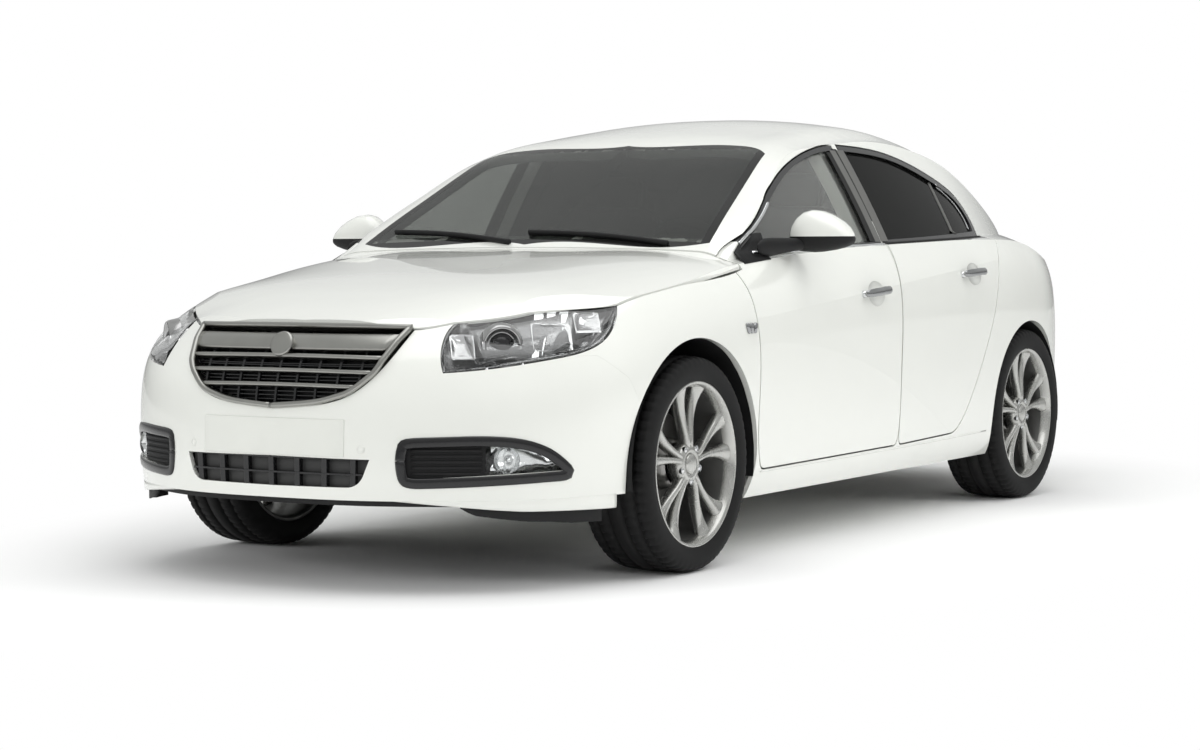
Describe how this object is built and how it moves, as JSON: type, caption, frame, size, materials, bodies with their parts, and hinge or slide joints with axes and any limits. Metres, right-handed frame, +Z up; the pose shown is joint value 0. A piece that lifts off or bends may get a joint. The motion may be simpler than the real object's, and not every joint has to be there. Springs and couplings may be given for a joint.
{
  "type": "sedan car",
  "caption": "Mid-size saloon car with opening doors, bonnet and boot lid, steered front wheels, a hollow cabin with seats, and a luggage boot",
  "frame": {"origin": "on the ground, below the middle of the overall box", "axes": "+X to the car's left, -Y to its front, +Z up"},
  "size_m": [2.1326, 4.8303, 1.4982],
  "materials": {
    "white_paint": "gloss clear coat",
    "inner_paint": "satin",
    "black_trim": "fine grain",
    "tinted_glass": "polished, tinted",
    "chrome_trim": "polished",
    "lamp_clear": "polished",
    "lamp_red": "polished",
    "chassis_iron": "black coated",
    "exhaust_steel": "satin",
    "seat_fabric": "woven",
    "dash_plastic": "soft grain",
    "wheel_leather": "smooth",
    "engine_alloy": "cast",
    "tyre_rubber": "matt",
    "wheel_alloy": "painted silver"
  },
  "bodies": {
    "body": {"body_shell": "white_paint", "front_structure": "inner_paint", "front_wings": "white_paint", "front_bumper": "white_paint", "headlamps": "lamp_clear", "grille": "chrome_trim", "lower_grille": "black_trim", "fog_lamps": "lamp_clear", "fog_vents": "black_trim", "front_lip": "black_trim", "windscreen": "tinted_glass", "rear_window": "tinted_glass", "rear_bumper": "white_paint", "tail_lamps": "lamp_red", "front_subframe": "chassis_iron", "rear_axle": "chassis_iron", "exhaust": "exhaust_steel", "front_seats": "seat_fabric", "rear_seat": "seat_fabric", "dashboard": "dash_plastic", "engine": "engine_alloy"},
    "bonnet": {"bonnet": "white_paint"},
    "boot_lid": {"boot_lid": "white_paint"},
    "steering_wheel": {"steering_wheel": "wheel_leather"},
    "front_door_left": {"front_door_left": "white_paint", "front_window_left": "tinted_glass", "mirror_left": "white_paint"},
    "rear_door_left": {"rear_door_left": "white_paint", "rear_window_left": "tinted_glass"},
    "knuckle_left": {"knuckle_left": "chassis_iron"},
    "wheel_front_left": {"tyre_front_left": "tyre_rubber", "rim_front_left": "wheel_alloy"},
    "wheel_rear_left": {"tyre_rear_left": "tyre_rubber", "rim_rear_left": "wheel_alloy"},
    "front_door_right": {"front_door_right": "white_paint", "front_window_right": "tinted_glass", "mirror_right": "white_paint"},
    "rear_door_right": {"rear_door_right": "white_paint", "rear_window_right": "tinted_glass"},
    "knuckle_right": {"knuckle_right": "chassis_iron"},
    "wheel_front_right": {"tyre_front_right": "tyre_rubber", "rim_front_right": "wheel_alloy"},
    "wheel_rear_right": {"tyre_rear_right": "tyre_rubber", "rim_rear_right": "wheel_alloy"}
  },
  "joints": [
    {"name": "front_door_left_hinge", "type": "hinge", "parent": "body", "child": "front_door_left", "pos_m": [0.919, -1.065, 0.6], "axis": [0, 0, -1], "range_deg": [0, 65]},
    {"name": "rear_door_left_hinge", "type": "hinge", "parent": "body", "child": "rear_door_left", "pos_m": [0.925, 0.088, 0.6], "axis": [0, 0, -1], "range_deg": [0, 65]},
    {"name": "front_door_right_hinge", "type": "hinge", "parent": "body", "child": "front_door_right", "pos_m": [-0.919, -1.065, 0.6], "axis": [0, 0, 1], "range_deg": [0, 65]},
    {"name": "rear_door_right_hinge", "type": "hinge", "parent": "body", "child": "rear_door_right", "pos_m": [-0.925, 0.088, 0.6], "axis": [0, 0, 1], "range_deg": [0, 65]},
    {"name": "bonnet_hinge", "type": "hinge", "parent": "body", "child": "bonnet", "pos_m": [0, -1.02, 1.008], "axis": [-1, 0, 0], "range_deg": [0, 60]},
    {"name": "boot_lid_hinge", "type": "hinge", "parent": "body", "child": "boot_lid", "pos_m": [0, 1.906, 1.1], "axis": [1, 0, 0], "range_deg": [0, 70]},
    {"name": "steering_left", "type": "hinge", "parent": "body", "child": "knuckle_left", "pos_m": [0.7585, -1.415, 0.339], "axis": [0, 0, 1], "range_deg": [-33, 33]},
    {"name": "steering_right", "type": "hinge", "parent": "body", "child": "knuckle_right", "pos_m": [-0.7585, -1.415, 0.339], "axis": [0, 0, 1], "range_deg": [-33, 33]},
    {"name": "steering_column", "type": "hinge", "parent": "body", "child": "steering_wheel", "pos_m": [0.38, -0.47, 0.93], "axis": [0, 0.9063, 0.4226], "range_deg": [-500, 500]},
    {"name": "spin_front_left", "type": "hinge", "parent": "knuckle_left", "child": "wheel_front_left", "pos_m": [0.7925, -1.415, 0.339], "axis": [1, 0, 0], "continuous": true},
    {"name": "spin_rear_left", "type": "hinge", "parent": "body", "child": "wheel_rear_left", "pos_m": [0.7925, 1.322, 0.339], "axis": [1, 0, 0], "continuous": true},
    {"name": "spin_front_right", "type": "hinge", "parent": "knuckle_right", "child": "wheel_front_right", "pos_m": [-0.7925, -1.415, 0.339], "axis": [1, 0, 0], "continuous": true},
    {"name": "spin_rear_right", "type": "hinge", "parent": "body", "child": "wheel_rear_right", "pos_m": [-0.7925, 1.322, 0.339], "axis": [1, 0, 0], "continuous": true}
  ],
  "couplings": [
    {"joint": "steering_right", "follows": "steering_left", "ratio": 1},
    {"joint": "steering_column", "follows": "steering_left", "ratio": 15}
  ]
}
